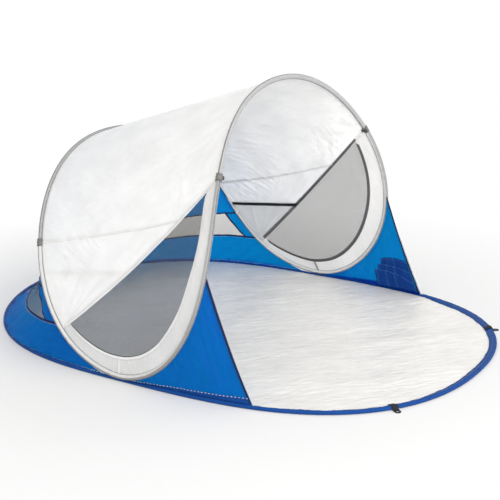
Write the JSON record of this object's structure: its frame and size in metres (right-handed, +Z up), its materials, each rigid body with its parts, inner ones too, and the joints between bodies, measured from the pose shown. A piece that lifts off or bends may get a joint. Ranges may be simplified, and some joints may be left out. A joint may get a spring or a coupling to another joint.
{
  "type": "beach windbreak",
  "caption": "Pop-up beach windbreak: a fabric shell folded from one spring hoop over a floor on a second hoop, open at the front, with mesh windows",
  "frame": {"origin": "on the ground, under the middle of the floor's outline", "axes": "+Z up; the open front faces -Y and the rear wall faces +Y; the left side is -X and the right side is +X"},
  "size_m": [1.4144, 1.95, 0.952],
  "materials": {
    "floor_fabric": "silvery coated fabric with fine wrinkles",
    "ring_fabric": "blue hem fabric",
    "sleeve_fabric": "grey sleeve fabric",
    "canopy_fabric": "white canopy fabric",
    "binding_tape": "dark grey binding",
    "side_mesh": "fine grey mesh",
    "wall_fabric": "blue fabric",
    "window_mesh": "fine grey mesh",
    "navy_tape": "navy binding",
    "navy_fabric": "dark navy fabric",
    "elastic": "black elastic",
    "webbing": "black webbing",
    "clip_plastic": "moulded grey plastic"
  },
  "bodies": {
    "root": {"floor_sheet": "floor_fabric", "ring_front_left": "ring_fabric", "ring_front_right": "ring_fabric", "ring_rear_left": "ring_fabric", "ring_rear_right": "ring_fabric", "front_arch_sleeve": "sleeve_fabric", "rear_arch_sleeve": "sleeve_fabric", "left_side_sleeve": "sleeve_fabric", "right_side_sleeve": "sleeve_fabric", "left_front_clip": "clip_plastic", "left_rear_clip": "clip_plastic", "right_front_clip": "clip_plastic", "right_rear_clip": "clip_plastic", "canopy_top": "canopy_fabric", "left_canopy_side": "canopy_fabric", "right_canopy_side": "canopy_fabric", "left_canopy_tape": "binding_tape", "right_canopy_tape": "binding_tape", "left_front_band": "canopy_fabric", "left_rear_band": "canopy_fabric", "right_front_band": "canopy_fabric", "right_rear_band": "canopy_fabric", "left_side_mesh": "side_mesh", "right_side_mesh": "side_mesh", "rear_lower_panel": "wall_fabric", "rear_upper_panel": "wall_fabric", "rear_left_strip": "wall_fabric", "rear_right_strip": "wall_fabric", "rear_window_mesh": "window_mesh", "left_gusset": "wall_fabric", "right_gusset": "wall_fabric", "left_gusset_hem": "navy_tape", "right_gusset_hem": "navy_tape", "right_gusset_pocket": "navy_fabric", "left_pocket_mesh": "side_mesh", "right_pocket_mesh": "side_mesh", "left_pocket_elastic": "elastic", "right_pocket_elastic": "elastic", "left_peg_loop": "webbing", "right_peg_loop": "webbing"}
  },
  "joints": []
}
